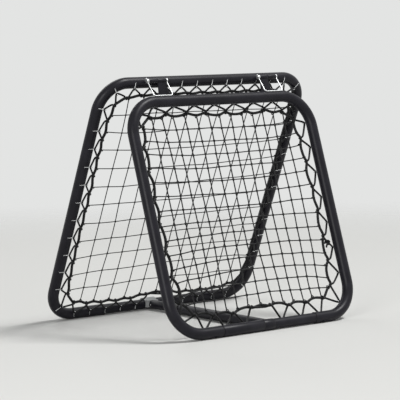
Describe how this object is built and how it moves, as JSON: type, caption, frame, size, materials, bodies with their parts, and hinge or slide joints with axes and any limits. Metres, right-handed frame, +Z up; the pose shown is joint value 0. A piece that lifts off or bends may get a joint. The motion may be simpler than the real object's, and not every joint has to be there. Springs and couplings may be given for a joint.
{
  "type": "pitch back rebounder",
  "caption": "Double-sided ball rebounder: two leaning tube frames hinged at the top, each with a laced square-mesh net, held apart by a telescopic ground brace.",
  "frame": {"origin": "on the ground, under the middle of the whole rebounder", "axes": "+Z up, +X along the bottom rails to the right of a player who faces the smaller front frame, +Y from the front frame towards the rear frame"},
  "size_m": [0.908, 0.6994, 0.8426],
  "materials": {
    "black_powder_coat": "satin",
    "zinc_steel": "satin",
    "net_twine": "matte",
    "border_rope": "matte",
    "elastic_cord": "matte",
    "black_plastic": "matte",
    "grey_plastic": "matte"
  },
  "bodies": {
    "rear_frame": {"rear_frame_arch": "black_powder_coat", "rear_bottom_insert": "black_powder_coat", "rear_joint_screws": "zinc_steel", "rear_net_hooks": "zinc_steel", "rear_bungee": "elastic_cord", "rear_bungee_knot": "elastic_cord", "rear_border_rope": "border_rope", "rear_net": "net_twine", "rear_hinge_knuckle_left": "black_powder_coat", "rear_hinge_knuckle_right": "black_powder_coat"},
    "front_frame": {"front_frame_arch": "black_powder_coat", "front_bottom_insert": "black_powder_coat", "front_joint_screws": "zinc_steel", "front_spacer_sleeve": "black_powder_coat", "front_net_hooks": "zinc_steel", "front_bungee": "elastic_cord", "front_bungee_knot": "elastic_cord", "front_border_rope": "border_rope", "front_net": "net_twine", "front_hinge_leaf_left": "black_powder_coat", "front_hinge_leaf_right": "black_powder_coat"},
    "brace_outer": {"brace_hub": "black_powder_coat", "brace_outer_tube": "black_powder_coat"},
    "brace_inner": {"brace_inner_tube": "black_powder_coat", "brace_rear_clip": "grey_plastic", "brace_clip_rivet": "zinc_steel"},
    "brace_collar": {"brace_lock_collar": "black_plastic"},
    "lock_pin_left": {"hinge_pin_left": "zinc_steel", "pin_wire_loop_left": "zinc_steel"},
    "lock_pin_right": {"hinge_pin_right": "zinc_steel", "pin_wire_loop_right": "zinc_steel"}
  },
  "joints": [
    {"name": "frame_fold", "type": "hinge", "parent": "rear_frame", "child": "front_frame", "pos_m": [0, -0.0582, 0.82946], "axis": [1, 0, 0], "range_deg": [0, 8]},
    {"name": "brace_pivot", "type": "hinge", "parent": "front_frame", "child": "brace_outer", "pos_m": [0, -0.3307, 0.019], "axis": [1, 0, 0], "range_deg": [-5, 0]},
    {"name": "brace_slide", "type": "slide", "parent": "brace_outer", "child": "brace_inner", "axis": [0, 1, 0], "range_m": [-0.1154, 0]},
    {"name": "brace_collar_turn", "type": "hinge", "parent": "brace_outer", "child": "brace_collar", "pos_m": [-0.004, 0.1483, 0.019], "axis": [0, 1, 0], "range_deg": [0, 90]},
    {"name": "lock_pin_left_turn", "type": "hinge", "parent": "front_frame", "child": "lock_pin_left", "pos_m": [-0.24, -0.0582, 0.82946], "axis": [1, 0, 0], "range_deg": [-195, 0]},
    {"name": "lock_pin_right_turn", "type": "hinge", "parent": "front_frame", "child": "lock_pin_right", "pos_m": [0.24, -0.0582, 0.82946], "axis": [1, 0, 0], "range_deg": [-195, 0]}
  ],
  "couplings": [
    {"joint": "brace_pivot", "follows": "frame_fold", "ratio": -0.6005},
    {"joint": "brace_slide", "follows": "frame_fold", "m_per_rad": -0.81914}
  ]
}
